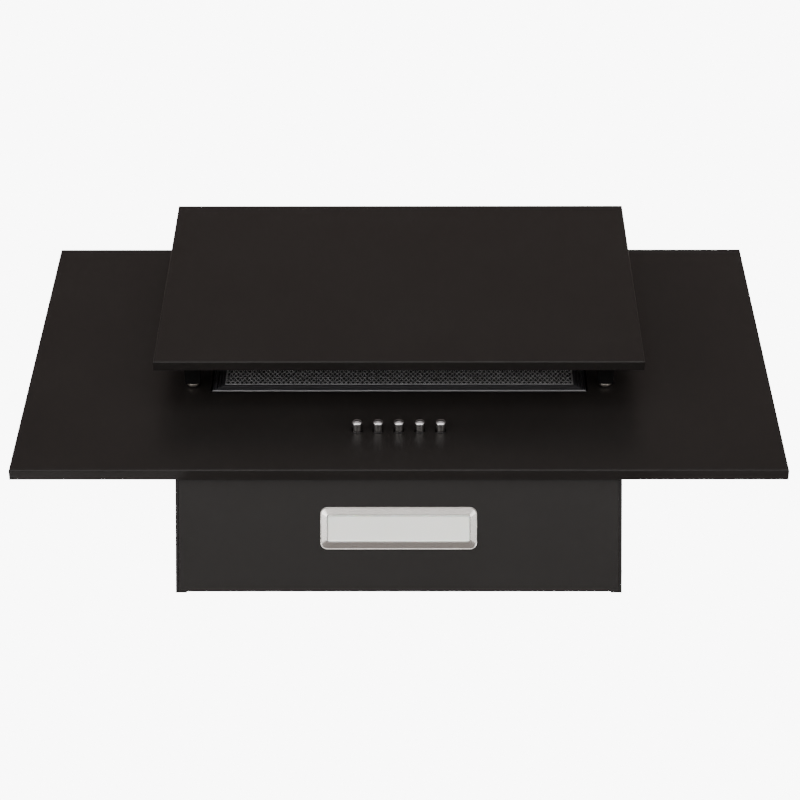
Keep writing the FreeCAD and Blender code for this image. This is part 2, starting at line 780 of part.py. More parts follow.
def make_motor():
    """Motor can with a smaller end bell and the shaft's bore."""
    face = -scroll_outer - motor_nose
    can = cylinder(motor_radius, motor_length, (face - motor_length, fan_y, fan_z), (1, 0, 0))
    rims = [e for e in can.Edges if len(e.Vertexes) == 1]
    can = can.makeFillet(4, rims)
    bell = cylinder(motor_radius * 0.45, 6, (face - motor_length - 6, fan_y, fan_z), (1, 0, 0))
    bore = cylinder(shaft_radius + shaft_running_gap, shaft_in_motor + 1, (face - shaft_in_motor - 1, fan_y, fan_z),
                    (1, 0, 0))
    return join([can, bell]).cut(bore)


def make_motor_bracket():
    start = -scroll_outer - rubber_height - bracket_sheet
    ring = cylinder(bracket_radius, bracket_sheet, (start, fan_y, fan_z), (1, 0, 0))
    return ring.cut(cylinder(motor_radius, bracket_sheet, (start, fan_y, fan_z), (1, 0, 0)))


def rubber_places():
    places = []
    for i in range(rubber_count):
        angle = math.radians(90 + i * 360 / rubber_count)
        places.append((fan_y + rubber_circle * math.cos(angle), fan_z + rubber_circle * math.sin(angle)))
    return places


def make_rubber_mounts():
    return [cylinder(rubber_radius, rubber_height, (-scroll_outer - rubber_height, y, z), (1, 0, 0))
            for y, z in rubber_places()]


def make_motor_screws():
    start = -scroll_outer - rubber_height - bracket_sheet
    return [screw_head_on((start, y, z), (-1, 0, 0)) for y, z in rubber_places()]


def make_capacitor():
    x = capacitor_inset - half_body
    centre = -2 * body_sheet - clip_wall - capacitor_radius
    low = floor_z + capacitor_height
    can = cylinder(capacitor_radius, capacitor_length, (x, centre, low), (0, 0, 1))
    rims = [e for e in can.Edges if len(e.Vertexes) == 1]
    return can.makeFillet(1.5, rims)


def make_capacitor_clip():
    x = capacitor_inset - half_body
    centre = -2 * body_sheet - clip_wall - capacitor_radius
    low = floor_z + capacitor_height + (capacitor_length - clip_length) / 2
    outer = capacitor_radius + clip_wall
    ring = cylinder(outer, clip_length, (x, centre, low), (0, 0, 1))
    foot = box((x - outer - 8, -2 * body_sheet - clip_wall, low), (x + outer + 8, -2 * body_sheet, low + clip_length))
    return join([ring, foot]).cut(cylinder(capacitor_radius, clip_length, (x, centre, low), (0, 0, 1)))


# ---- outlet -------------------------------------------------------------
def make_outlet_collar():
    """Round collar on a square plate, with a ledge that the dampers rest on."""
    half = outlet_plate / 2
    inner = outlet_outer - outlet_wall
    high = top_z + outlet_plate_thick
    plate = box((-half, outlet_y - half, top_z), (half, outlet_y + half, high))
    upright = [e for e in plate.Edges if abs(e.Vertexes[0].Z - e.Vertexes[1].Z) > 1]
    plate = plate.makeFillet(8, upright)
    tube = cylinder(outlet_outer, outlet_length + outlet_plate_thick, (0, outlet_y, top_z), (0, 0, 1))
    solid = join([plate, tube]).cut(cylinder(inner, 90, (0, outlet_y, top_z - 2), (0, 0, 1)))
    ledge_top = high + damper_rise - damper_thick / 2 - damper_rest_gap
    ledge = cylinder(inner, damper_ledge_thick, (0, outlet_y, ledge_top - damper_ledge_thick), (0, 0, 1))
    ledge = ledge.cut(cylinder(inner - damper_ledge, 10, (0, outlet_y, ledge_top - 5), (0, 0, 1)))
    return join([solid, ledge]).cut(make_damper_pin())


def damper_level():
    return top_z + outlet_plate_thick + damper_rise


def make_damper_pin():
    """Wire across the collar, its ends in the collar's wall."""
    reach = outlet_outer - outlet_wall / 2
    return cylinder(damper_pin_radius, 2 * reach, (-reach, outlet_y, damper_level()), (1, 0, 0))


def make_damper(side):
    """Half-round flap with knuckles on the pin; side is -1 for the front one, 1 for the rear one."""
    level = damper_level()
    radius = outlet_outer - outlet_wall - damper_gap
    plate = cylinder(radius, damper_thick, (0, 0, level - damper_thick / 2), (0, 0, 1))
    plate = plate.common(box((-radius, damper_root, level - 5), (radius, radius, level + 5)))
    parts = [plate]
    shift = damper_knuckle / 2 + 1 if side > 0 else -damper_knuckle / 2 - 1
    for station in (-2, 0, 2):
        x = station * (damper_knuckle + 2) + shift
        eye = cylinder(damper_eye, damper_knuckle, (x - damper_knuckle / 2, 0, level), (1, 0, 0))
        lug = box((x - damper_knuckle / 2, 0, level - damper_thick / 2),
                  (x + damper_knuckle / 2, damper_root + 1, level + damper_thick / 2))
        if abs(x) + damper_knuckle / 2 < radius - 1:
            parts += [eye, lug]
    solid = join(parts)
    bore = damper_pin_radius + damper_running_gap
    solid = solid.cut(cylinder(bore, 4 * radius, (-2 * radius, 0, level), (1, 0, 0)))
    if side < 0:
        solid = solid.mirror(V(0, 0, 0), V(0, 1, 0))
    return solid.translated(V(0, outlet_y, 0))


def make_collar_screws():
    screws = []
    reach = outlet_plate / 2 - outlet_screw_inset
    for x_side in (-1, 1):
        for y_side in (-1, 1):
            foot = (x_side * reach, outlet_y + y_side * reach, top_z + outlet_plate_thick)
            screws.append(screw_head_on(foot, (0, 0, 1)))
    return screws


# ---- electrics ----------------------------------------------------------
def make_terminal_box():
    width, depth, height = terminal_size
    x = half_body - terminal_inset
    rear = -2 * body_sheet
    low = floor_z + terminal_height
    solid = box((x - width / 2, rear - depth, low), (x + width / 2, rear, low + height))
    upright = [e for e in solid.Edges if abs(e.Vertexes[0].Y - e.Vertexes[1].Y) > 1]
    return solid.makeFillet(3, upright)


def make_driver():
    width, depth, height = driver_size
    x = driver_inset - half_body
    low = floor_z + body_sheet
    solid = box((x - width / 2, -driver_depth - depth / 2, low), (x + width / 2, -driver_depth + depth / 2, low + height))
    upright = [e for e in solid.Edges if abs(e.Vertexes[0].Z - e.Vertexes[1].Z) > 1]
    return solid.makeFillet(2, upright)


def make_cable_gland():
    """Hexagonal gland with a domed nut and a bore for the mains lead."""
    x = half_body - gland_inset
    depth = gland_depth
    corner = gland_hex / math.cos(math.pi / 6)
    points = [V(x + corner * math.cos(math.pi / 3 * i), -depth + corner * math.sin(math.pi / 3 * i), top_z)
              for i in range(6)]
    base = Part.Face(Part.makePolygon(points + points[:1])).extrude(V(0, 0, gland_hex_height))
    dome = cylinder(gland_hex - 1, gland_dome, (x, -depth, top_z + gland_hex_height), (0, 0, 1))
    dome = dome.makeFillet(3, [dome.Edges[0]])
    neck = cylinder(gland_neck, gland_thread, (x, -depth, top_z - gland_thread), (0, 0, 1))
    solid = join([base, dome, neck])
    return solid.cut(cylinder(gland_bore, 60, (x, -depth, top_z - 30), (0, 0, 1)))


def make_gland_nut():
    x = half_body - gland_inset
    depth = gland_depth
    corner = gland_hex / math.cos(math.pi / 6)
    low = top_z - body_sheet - gland_nut
    points = [V(x + corner * math.cos(math.pi / 3 * i), -depth + corner * math.sin(math.pi / 3 * i), low)
              for i in range(6)]
    nut = Part.Face(Part.makePolygon(points + points[:1])).extrude(V(0, 0, gland_nut))
    return nut.cut(cylinder(gland_neck, gland_nut, (x, -depth, low), (0, 0, 1)))


# ---- the whole hood -----------------------------------------------------
right_plate = make_side_plate()
keep("right_side_plate", right_plate)
keep("left_side_plate", mirrored(right_plate))
keep("bottom_plate", make_bottom_plate())
keep("back_plate", make_back_plate())
keep("top_plate", make_top_plate())
keep("front_frame", make_front_frame())
keep("side_rivets", *make_rivets())
keep("main_panel", make_main_panel())
keep("catch_discs", make_catch_disc(-1), make_catch_disc(1))

keep("flap_panel", make_flap_panel())
keep("flap_liner", make_flap_liner())
keep("hinge_bases", make_hinge_base(-1), make_hinge_base(1))
keep("hinge_arms", make_hinge_arm(-1), make_hinge_arm(1))
keep("hinge_pins", make_hinge_pin(-1), make_hinge_pin(1))
keep("hinge_screws", *make_hinge_screws())
keep("catch_posts", make_catch_post(-1), make_catch_post(1))

keep("filter_frame", make_filter_frame())
keep("filter_front_mesh", mesh_sheet_at(filter_front - filter_lip, mesh_sheet))
keep("filter_layers", *make_filter_layers())
keep("filter_rear_mesh", mesh_sheet_at(filter_back + filter_lip + mesh_sheet, mesh_sheet))
keep("filter_pull", make_filter_pull())
keep("filter_guides", make_filter_guide(-1), make_filter_guide(1))
keep("filter_clips", *make_filter_clips())

for name, place in zip(button_names, button_places()):
    keep("button_" + name, make_button_cap(place))
    keep("plunger_" + name, make_plunger(place))
keep("button_rings", *[make_button_ring(place) for place in button_places()])
keep("switch_block", make_switch_block())

keep("lamp_bezel", make_lamp_bezel())
keep("lamp_lens", make_lamp_lens())
keep("lamp_box", make_lamp_box())
keep("led_board", make_led_board())
keep("led_driver", make_driver())

scroll = make_scroll_shell()
keep("scroll_inlet_half", scroll.common(half_space(1)))
keep("scroll_motor_half", scroll.common(half_space(-1)))
keep("inlet_ring", make_inlet_ring())
keep("impeller", make_impeller())
keep("fan_shaft", make_shaft())
keep("motor", make_motor())
keep("motor_bracket", make_motor_bracket())
keep("rubber_mounts", *make_rubber_mounts())
keep("motor_screws", *make_motor_screws())
keep("capacitor", make_capacitor())
keep("capacitor_clip", make_capacitor_clip())

keep("outlet_collar", make_outlet_collar())
keep("damper_pin", make_damper_pin())
keep("damper_front", make_damper(-1))
keep("damper_rear", make_damper(1))
keep("collar_screws", *make_collar_screws())
keep("terminal_box", make_terminal_box())
keep("cable_gland", make_cable_gland())
keep("gland_nut", make_gland_nut())

os.makedirs("parts", exist_ok=True)
for name, shape in pieces.items():
    shape.exportStep("parts/" + name + ".step")
print(len(pieces), "pieces")
print("body height", round(body_height, 3), "floor", round(floor_z, 3))
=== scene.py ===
"""Looks of an inclined cooker hood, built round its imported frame."""
import json
import math

import bmesh
import bpy
from mathutils import Matrix, Vector


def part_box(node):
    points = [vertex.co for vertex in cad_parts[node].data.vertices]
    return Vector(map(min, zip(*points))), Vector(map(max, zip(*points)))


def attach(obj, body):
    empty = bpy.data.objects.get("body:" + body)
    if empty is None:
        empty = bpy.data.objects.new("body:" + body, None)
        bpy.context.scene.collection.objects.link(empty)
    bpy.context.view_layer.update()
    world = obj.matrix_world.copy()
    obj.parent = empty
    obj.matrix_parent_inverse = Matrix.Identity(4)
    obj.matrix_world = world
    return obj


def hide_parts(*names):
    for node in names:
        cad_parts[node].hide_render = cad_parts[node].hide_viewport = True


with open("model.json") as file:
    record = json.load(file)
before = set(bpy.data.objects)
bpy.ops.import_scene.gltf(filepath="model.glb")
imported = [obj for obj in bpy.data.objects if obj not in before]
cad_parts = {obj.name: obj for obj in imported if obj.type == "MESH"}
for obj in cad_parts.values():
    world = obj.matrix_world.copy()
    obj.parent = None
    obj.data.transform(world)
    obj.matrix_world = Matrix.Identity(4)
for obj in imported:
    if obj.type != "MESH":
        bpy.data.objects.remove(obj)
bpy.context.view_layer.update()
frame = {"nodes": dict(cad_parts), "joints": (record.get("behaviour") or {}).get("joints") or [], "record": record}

MM = 0.001

# ---- sizes of the hood, in millimetres ----------------------------------
PANEL_LEAN = 31.0            # degrees from the vertical, top edge forward
PANEL_WIDTH = 600.0
PANEL_LENGTH = 338.0
PANEL_RIM = 9.0
PANEL_RETURN = 10.0
SHEET = 1.0
FOLD_RADIUS = 1.2
FLAP_WIDTH = 388.0
FLAP_START = 87.0
FLAP_END = 340.0
FLAP_HEIGHT = 43.0
FLAP_RIM = 8.0
HINGE_STATION = 325.0        # flap's pin, up the slope from the panel's lower edge
HINGE_RISE = 17.0            # flap's pin above the panel's face
WINDOW_START = 110.0
WINDOW_END = 300.0
WINDOW_WIDTH = 304.0
FILTER_GAP = 1.0
FILTER_SINK = 0.3
FILTER_DEPTH = 10.7
FILTER_BAND = 10.0
FILTER_LIP = 0.8
HOOK_ACROSS = 100.0          # the filter's hook tabs, from the middle
HOOK_REACH = 4.0
HOOK_BEAD = 1.0              # radius of the tabs' rolled ends
HOOK_LEVEL = -4.3
MESH_ACROSS = 3.75           # one diamond of the expanded mesh
MESH_ALONG = 6.4
MESH_COUNT = 112
MESH_RISE = 0.5
MESH_MARGIN = 0.6            # mesh's edge, inside the frame's band
STRAND = 0.85
HEM = 1.6                    # width of the filter's rolled hems
CATCH_STATION = 120.0
CATCH_ACROSS = 166.5
CATCH_TOP = 3.6
CATCH_AIR = 0.5
POST_HALF = (6.6, 6.5)
FLAP_BACK = 35.0
BUTTON_STATION = 54.0
BUTTON_PITCH = 16.4
BUTTON_STEM = 3.1            # radius
BUTTON_HEAD = 3.95           # radius
BUTTON_TOP = 9.3
RING_BORE = 3.4              # radii of the rings
RING_SLEEVE = 3.9
RING_OUTER = 4.5
BUTTONS = ("off", "low", "medium", "high", "lamp")
LAMP_DEPTH = 50.0            # lamp's middle from the wall
LAMP_SIZE = (121.0, 33.0)
LENS_SIZE = (109.6, 20.4)
COLLAR_BORE = 57.5           # radii of the outlet collar
COLLAR_SEAT = 58.8
COLLAR_OUTER = 59.5
COLLAR_PLATE = 2.0
GLAND_BORE = 3.6             # radii of the lead entry
GLAND_THREAD = 6.0
GLAND_NUT = 9.0
GLAND_NECK = 9.0             # height of its thread
EASED = 0.25                 # radius of eased sheet edges

STUDIO_FLOOR = -3.4          # metres
STUDIO_AIM = (0, -0.15, -0.1)


def panel_axes():
    """Matrix from the panel's own axes (across, up the slope, outward) to the hood."""
    lean = math.radians(PANEL_LEAN)
    across = Vector((1, 0, 0))
    upward = Vector((0, -math.sin(lean), math.cos(lean)))
    outward = across.cross(upward)
    pin = next(Vector(j["pos_m"]) for j in frame["joints"] if j["name"] == "flap_hinge")
    origin = pin - upward * HINGE_STATION * MM - outward * HINGE_RISE * MM
    place = Matrix((across, upward, outward)).transposed().to_4x4()
    place.translation = origin
    return place @ Matrix.Scale(MM, 4)


HOOD = Matrix.Scale(MM, 4)
PANEL = panel_axes()
FLOOR_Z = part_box("bottom_plate")[0].z / MM


# ---- materials ----------------------------------------------------------
def colour(code):
    """sRGB hex colour as a linear RGBA value."""
    parts = [int(code[i:i + 2], 16) / 255 for i in (0, 2, 4)]
    linear = [p / 12.92 if p <= 0.04045 else ((p + 0.055) / 1.055) ** 2.4 for p in parts]
    return (*linear, 1.0)


def per_metre(size):
    """Pattern scale for a feature size in millimetres."""
    return 1000.0 / size


def add(tree, kind, values=None, links=None, **settings):
    """Adds one node with its settings, its fixed values and the sockets linked into it."""
    made = tree.nodes.new("ShaderNode" + kind)
    for key, value in settings.items():
        setattr(made, key, value)
    for key, value in (values or {}).items():
        made.inputs[key].default_value = value
    for key, source in (links or {}).items():
        tree.links.new(source, made.inputs[key])
    return made


def start(name, **shader_values):
    """New material with one Principled shader; returns it, its tree, the shader and object coordinates."""
    material = bpy.data.materials.new(name)
    material.use_nodes = True
    tree = material.node_tree
    tree.nodes.clear()
    output = add(tree, "OutputMaterial")
    shader = add(tree, "BsdfPrincipled", {key.replace("_", " "): value for key, value in shader_values.items()})
    tree.links.new(shader.outputs["BSDF"], output.inputs["Surface"])
    place = add(tree, "TexCoord").outputs["Object"]
    return material, tree, shader, place


def blend_colours(tree, factor, low, high):
    """Colour that runs from low to high with a factor."""
    mixed = add(tree, "Mix", links={0: factor}, data_type="RGBA")
    mixed.inputs[6].default_value = colour(low)
    mixed.inputs[7].default_value = colour(high)
    return mixed.outputs[2]


def dress(tree, shader, factor, colours, gloss=None, relief=None, height=None):
    """Drives a shader from one pattern: two colours, a range of roughness, and relief as (strength, depth)."""
    tree.links.new(blend_colours(tree, factor, *colours), shader.inputs["Base Color"])
    if gloss:
        rough = add(tree, "MapRange", {"To Min": gloss[0], "To Max": gloss[1]}, {"Value": factor})
        tree.links.new(rough.outputs["Result"], shader.inputs["Roughness"])
    if relief:
        bump = add(tree, "Bump", {"Strength": relief[0], "Distance": relief[1]}, {"Height": height or factor})
        tree.links.new(bump.outputs["Normal"], shader.inputs["Normal"])


def noise(tree, place, size, detail=2.0, stretch=None, **more):
    """Noise with features of a size in millimetres, drawn out along an axis if stretch is given."""
    if stretch:
        place = add(tree, "Mapping", {"Scale": stretch}, {"Vector": place}).outputs["Vector"]
    values = {"Scale": per_metre(size), "Detail": detail, **more}
    return add(tree, "TexNoise", values, {"Vector": place}).outputs["Fac"]


def powder_coat():
    """Black polyester powder coat, baked on steel: a satin skin with a fine orange peel."""
    material, tree, shader, place = start("black_polyester_powder_coat", Specular_IOR_Level=0.3)
    peel = noise(tree, place, 1.1, 3.0, Roughness=0.6)
    drift = noise(tree, place, 90)
    dress(tree, shader, drift, ("151312", "191716"), (0.30, 0.38), (0.10, 0.00008), peel)
    return material


def blackened_steel():
    """Black zinc on bent strip steel: dull metal with rolling marks along it."""
    material, tree, shader, place = start("black_zinc_strip_steel", Metallic=0.85)
    roll = noise(tree, place, 0.8, 4.0, stretch=(0.06, 1.0, 1.0))
    dress(tree, shader, roll, ("1E1E20", "2A2A2C"), (0.38, 0.52), (0.12, 0.00005))
    return material


def zinc_plate():
    """Bright zinc on turned and pressed steel: pale, slightly blue, with small cloudy patches."""
    material, tree, shader, place = start("bright_zinc_on_steel", Metallic=1.0)
    dress(tree, shader, noise(tree, place, 2.5, 3.0), ("A9ADB2", "C3C6C9"), (0.22, 0.36))
    return material


def polished_chrome():
    """Bright chrome on moulded caps: clear but soft reflections, with the faint waviness of plated plastic."""
    material, tree, shader, place = start("bright_chrome_on_moulding", Metallic=1.0)
    wave = noise(tree, place, 2.2)
    dress(tree, shader, wave, ("CFCFD0", "DEDEDF"), (0.20, 0.28), (0.06, 0.00008))
    return material


def satin_chrome():
    """Satin chrome on the lamp's bezel: soft wide reflections with a short cross grain."""
    material, tree, shader, place = start("satin_chrome_on_moulding", Metallic=1.0)
    grain = noise(tree, place, 0.5, 4.0, stretch=(0.05, 1.0, 1.0))
    dress(tree, shader, grain, ("BDBAB6", "CBC8C4"), (0.24, 0.32), (0.08, 0.00004))
    return material


def nickel_plate():
    """Nickel on the steel catch discs: warm grey metal, dulled in small patches."""
    material, tree, shader, place = start("nickel_on_turned_steel", Metallic=1.0)
    dress(tree, shader, noise(tree, place, 1.5, 3.0), ("8E8880", "A29C94"), (0.28, 0.40))
    return material


def shaded_stem_nickel():
    """Grey satin nickel on the buttons' stems, with a fine grain: duller than the heads, a grey that is partly the
    satin finish and partly painted shade under the heads.
    """
    material, tree, shader, place = start("satin_nickel_painted_shade", Metallic=1.0)
    # darker grey than the heads: partly satin finish, partly painted shade under the button heads
    dress(tree, shader, noise(tree, place, 0.5, 3.0), ("92908D", "A6A3A1"), (0.30, 0.42))
    return material


def black_chrome():
    """Black chrome on the rings round the buttons: dark metal with a soft haze."""
    material, tree, shader, place = start("black_chrome_on_moulding", Metallic=1.0)
    dress(tree, shader, noise(tree, place, 1.0), ("2A2A2A", "363535"), (0.24, 0.34))
    return material


def frame_anodised():
    """Dark anodised aluminium of the filter's frame: charcoal metal with rolling lines."""
    material, tree, shader, place = start("charcoal_anodised_aluminium", Metallic=0.35)
    roll = noise(tree, place, 0.7, 3.0, stretch=(0.08, 1.0, 1.0))
    dress(tree, shader, roll, ("28282A", "343436"), (0.30, 0.42))
    return material


def highlight_trim():
    """Aluminium edging on the filter: light grey and matt, with small cloudy patches. The light grey is partly the
    metal's own tone and partly painted highlight along the frame's edges.
    """
    material, tree, shader, place = start("aluminium_edging_painted_highlight", Metallic=0.25)
    # light grey partly painted highlight, brightened to show as edge lines in the shade under the flap
    dress(tree, shader, noise(tree, place, 1.4, 3.0), ("8C8C8E", "A6A6A8"), (0.36, 0.50))
    return material


def shaded_mesh_layers():
    """Inner layers of expanded aluminium seen through the front mesh: painted dark as painted shade, with the next
    layer's holes as darker spots of painted shade.
    """
    material, tree, shader, place = start("stacked_aluminium_painted_shade", Metallic=0.6, Roughness=0.6)
    holes = add(tree, "TexVoronoi", {"Scale": per_metre(3.0)}, {"Vector": place}).outputs["Distance"]
    # painted shade: the layers are drawn dark, darkest at the hole spots, though the metal is bright
    dress(tree, shader, holes, ("2A2A2A", "5A5A5A"), relief=(0.6, 0.0004))
    return material


def frosted_acrylic():
    """Opal acrylic with a moulded prism grid on its inside: milky white, softly glossy."""
    material, tree, shader, place = start("opal_acrylic_diffuser", Subsurface_Weight=0.15,
                                          Subsurface_Scale=0.003, Roughness=0.25, IOR=1.49)
    prism = add(tree, "TexVoronoi", {"Scale": per_metre(2.4), "Randomness": 0.0}, {"Vector": place})
    haze = noise(tree, place, 40, 1.0)
    dress(tree, shader, haze, ("F6F8F0", "FBFCF6"), relief=(0.10, 0.0002), height=prism.outputs["Distance"])
    return material


def white_moulding():
    """White polycarbonate mouldings: matt, with a fine spark-eroded grain."""
    material, tree, shader, place = start("white_polycarbonate", Roughness=0.55)
    dress(tree, shader, noise(tree, place, 0.6, 3.0), ("DEDDD8", "E9E8E4"), relief=(0.15, 0.00006))
    return material


def circuit_board():
    """White solder mask over copper tracks: glossy white with faint raised lanes."""
    material, tree, shader, place = start("white_solder_mask", Roughness=0.32)
    lanes = add(tree, "TexWave", {"Scale": per_metre(6.0), "Distortion": 2.0}, {"Vector": place}).outputs["Fac"]
    dress(tree, shader, lanes, ("D9DCD2", "E6E8E0"), relief=(0.2, 0.00005))
    return material


def expanded_aluminium():
    """Anodised expanded aluminium: grey strands with brighter sheared edges."""
    material, tree, shader, place = start("anodised_expanded_aluminium", Metallic=0.6)
    shear = noise(tree, place, 1.6, 3.0)
    dress(tree, shader, shear, ("959596", "C4C4C5"), (0.28, 0.46), (0.25, 0.0001))
    return material


def moulded_black():
    """Black ABS and nylon mouldings: deep matt black with a fine eroded grain."""
    material, tree, shader, place = start("black_moulded_plastic", Specular_IOR_Level=0.14)
    grain = noise(tree, place, 0.5, 4.0)
    dress(tree, shader, grain, ("070707", "0D0D0D"), (0.46, 0.60), (0.2, 0.00006))
    return material


def motor_enamel():
    """Grey stoving enamel on the motor's can: smooth with slight runs."""
    material, tree, shader, place = start("grey_stoved_enamel", Coat_Weight=0.3)
    dress(tree, shader, noise(tree, place, 8.0), ("4B4D50", "56585B"), (0.30, 0.42))
    return material


def black_rubber():
    """Moulded rubber: matt, faintly dusty."""
    material, tree, shader, place = start("black_nitrile_rubber", IOR=1.52)
    dress(tree, shader, noise(tree, place, 1.2, 5.0), ("121212", "1E1D1C"), (0.70, 0.85))
    return material


def drawn_aluminium():
    """Deep-drawn aluminium can: bright metal with fine draw lines up its side."""
    material, tree, shader, place = start("drawn_aluminium", Metallic=1.0)
    lines = noise(tree, place, 0.6, 3.0, stretch=(1.0, 1.0, 0.04))
    dress(tree, shader, lines, ("B4B6B8", "C9CBCC"), (0.26, 0.40))
    return material


FINISHES = {
    "black_powder_coat": powder_coat(),
    "inner_steel": blackened_steel(),
    "zinc_fasteners": zinc_plate(),
    "polished_chrome": polished_chrome(),
    "nickel_steel": nickel_plate(),
    "satin_chrome": satin_chrome(),
    "frosted_acrylic": frosted_acrylic(),
    "white_plastic": white_moulding(),
    "circuit_board": circuit_board(),
    "expanded_aluminium": expanded_aluminium(),
    "black_plastic": moulded_black(),
    "motor_paint": motor_enamel(),
    "black_rubber": black_rubber(),
    "capacitor_shell": drawn_aluminium(),
    "shaded_stem_nickel": shaded_stem_nickel(),
    "shaded_mesh_layers": shaded_mesh_layers(),
    "black_chrome": black_chrome(),
    "frame_anodised": frame_anodised(),
    "highlight_trim": highlight_trim(),
}


def finish_cad_nodes():
    """Gives every carried-over node the material of its slot; the filter's inner layers get a dark material of
    painted shade instead.
    """
    for part in frame["record"]["subparts"]:
        node = frame["nodes"][part["node"]]
        node.data.materials.clear()
        # the filter's inner layers: flat sheets painted dark as painted shade
        packed = part["node"] in ("filter_layers", "filter_rear_mesh")
        node.data.materials.append(FINISHES["shaded_mesh_layers" if packed else part["material_slot"]])


# ---- making pieces ------------------------------------------------------
def piece(name, bm, place, finish, body, *nodes, crease=35, paint=None):
    """Finishes a mesh in millimetres as a piece that rides a body and stands for any nodes named."""
    bmesh.ops.transform(bm, matrix=place, verts=bm.verts)
    bmesh.ops.remove_doubles(bm, verts=bm.verts, dist=1e-6)
    bmesh.ops.recalc_face_normals(bm, faces=bm.faces)
    mesh = bpy.data.meshes.new(name)
    bm.to_mesh(mesh)
    bm.free()
    mesh.materials.append(FINISHES[paint or finish])
    mesh.shade_smooth()
    mesh.set_sharp_from_angle(angle=math.radians(crease))
    made = bpy.data.objects.new(name, mesh)
    bpy.context.scene.collection.objects.link(made)
    even = made.modifiers.new("even_shading", "WEIGHTED_NORMAL")
    even.keep_sharp = True
    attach(made, body)
    if nodes:
        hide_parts(*nodes)


def lathe(bm, profile, centre, steps=40, closed=False):
    """Spins a (radius, height) profile round the outward axis at centre."""
    verts = [bm.verts.new((centre[0] + radius, centre[1], centre[2] + height)) for radius, height in profile]
    edges = [bm.edges.new(pair) for pair in zip(verts, verts[1:])]
    if closed:
        edges.append(bm.edges.new((verts[-1], verts[0])))
    bmesh.ops.spin(bm, geom=verts + edges, cent=centre, axis=(0, 0, 1), angle=math.tau, steps=steps,
                   use_merge=True)
    bmesh.ops.remove_doubles(bm, verts=bm.verts, dist=1e-4)


def rectangle(bm, low, high, level):
    """One flat face between two corners."""
    face = bmesh.ops.create_grid(bm, x_segments=1, y_segments=1, size=0.5)["verts"]
    bmesh.ops.scale(bm, vec=(high[0] - low[0], high[1] - low[1], 1), verts=face)
    bmesh.ops.translate(bm, vec=((low[0] + high[0]) / 2, (low[1] + high[1]) / 2, level), verts=face)
    return face


def block(bm, low, high):
    """Six-sided block between two corners; returns its verts."""
    verts = bmesh.ops.create_cube(bm, size=1.0)["verts"]
    bmesh.ops.scale(bm, vec=[high[i] - low[i] for i in range(3)], verts=verts)
    bmesh.ops.translate(bm, vec=[(high[i] + low[i]) / 2 for i in range(3)], verts=verts)
    return verts


def edges_of(verts):
    """Edges that touch any of the verts."""
    return list({edge for vert in verts for edge in vert.link_edges})


def faces_of(verts):
    """Faces that touch any of the verts."""
    return list({face for vert in verts for face in vert.link_faces})


def soften(bm, edges, radius, segments=3):
    """Rounds edges."""
    bmesh.ops.bevel(bm, geom=edges, offset=radius, offset_type="OFFSET", segments=segments, profile=0.5,
                    affect="EDGES", material=-1)


def moved_verts(made):
    """The vertices in what an extrusion gives back."""
    return [v for v in made["geom"] if isinstance(v, bmesh.types.BMVert)]


def join(bm, part):
    """Adds another mesh to bm and frees it."""
    mesh = bpy.data.meshes.new("part")
    part.to_mesh(mesh)
    part.free()
    bm.from_mesh(mesh)
    bpy.data.meshes.remove(mesh)


def fill_holes(bm):
    """Closes every open loop of edges."""
    bmesh.ops.holes_fill(bm, edges=[e for e in bm.edges if e.is_boundary], sides=0)


# ---- folded sheet and brackets ------------------------------------------
def eased(name, node):
    """A sheet or bracket with its cut edges eased, in the shape its node has."""
    owner = next(body for body, members in frame["record"]["behaviour"]["bodies"].items() if node in members)
    finish = next(part["material_slot"] for part in frame["record"]["subparts"] if part["node"] == node)
    bm = bmesh.new()
    bm.from_mesh(frame["nodes"][node].data)
    bmesh.ops.scale(bm, vec=(1 / MM, 1 / MM, 1 / MM), verts=bm.verts)
    bmesh.ops.remove_doubles(bm, verts=bm.verts, dist=1e-3)
    bmesh.ops.dissolve_limit(bm, angle_limit=math.radians(0.5), verts=bm.verts, edges=bm.edges)
    cut = [e for e in bm.edges if e.is_manifold and e.calc_face_angle(0) > math.radians(40)]
    bmesh.ops.bevel(bm, geom=cut, offset=EASED, offset_type="OFFSET", segments=2, profile=0.5, affect="EDGES",
                    clamp_overlap=True, material=-1)
    piece(name, bm, HOOD, finish, owner, node)


def make_sheets():
    """Folded plates, brackets and discs that keep the shape of their nodes."""
    for node in ("left_side_plate", "right_side_plate", "bottom_plate", "top_plate", "back_plate",
                 "hinge_bases", "hinge_arms", "flap_liner", "filter_pull", "damper_front", "damper_rear"):
        eased(node + "_eased", node)


# ---- panel and flap -----------------------------------------------------
def tray(width, start, end, face, rim, holes=(), bores=()):
    """Folded tray: a face with rounded folds and a rim turned back all round."""
    bm = bmesh.new()
    half = width / 2
    rectangle(bm, (-half, start), (half, end), face)
    for low, high in holes:
        rectangle(bm, low, high, face)
    for centre, radius in bores:
        bmesh.ops.create_circle(bm, cap_ends=False, radius=radius, segments=32,
                                matrix=Matrix.Translation((centre[0], centre[1], face)))
    if holes:
        bmesh.ops.delete(bm, geom=bm.faces[:], context="FACES_ONLY")
        bmesh.ops.triangle_fill(bm, use_beauty=True, use_dissolve=False, edges=bm.edges, normal=(0, 0, 1))
    outer = [e for e in bm.edges if e.is_boundary and all(
        abs(abs(v.co.x) - half) < 1e-3 or min(abs(v.co.y - start), abs(v.co.y - end)) < 1e-3 for v in e.verts)]
    skirt = moved_verts(bmesh.ops.extrude_edge_only(bm, edges=outer))
    bmesh.ops.translate(bm, vec=(0, 0, -rim), verts=skirt)
    soften(bm, outer, FOLD_RADIUS, 6)
    return bm


